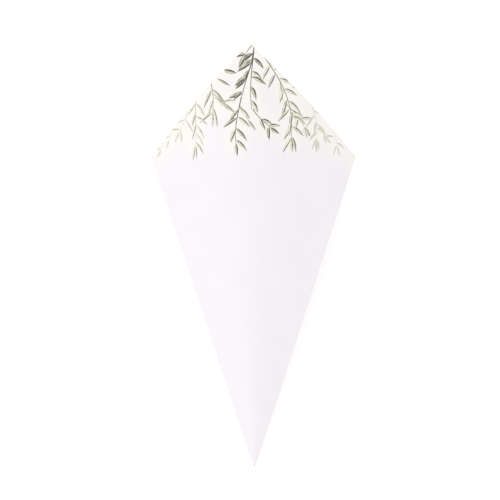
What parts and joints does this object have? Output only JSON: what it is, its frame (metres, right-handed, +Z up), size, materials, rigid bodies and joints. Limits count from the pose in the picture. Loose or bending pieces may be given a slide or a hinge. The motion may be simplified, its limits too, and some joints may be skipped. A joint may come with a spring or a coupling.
{
  "type": "paper cone bag",
  "caption": "Cone bag folded from one square sheet of printed card, with a pointed corner flap, side folds and a glued lap down the back.",
  "frame": {"origin": "on the surface that the bag lies on, under the middle of its bounding box", "axes": "+Y from the closed point towards the pointed flap, +Z up from the seam side to the printed side, +X across the bag"},
  "size_m": [0.1034, 0.1992, 0.0735],
  "materials": {
    "white_card": "matte",
    "gold_print": "satin"
  },
  "bodies": {
    "root": {"paper_cone": "white_card"}
  },
  "joints": []
}
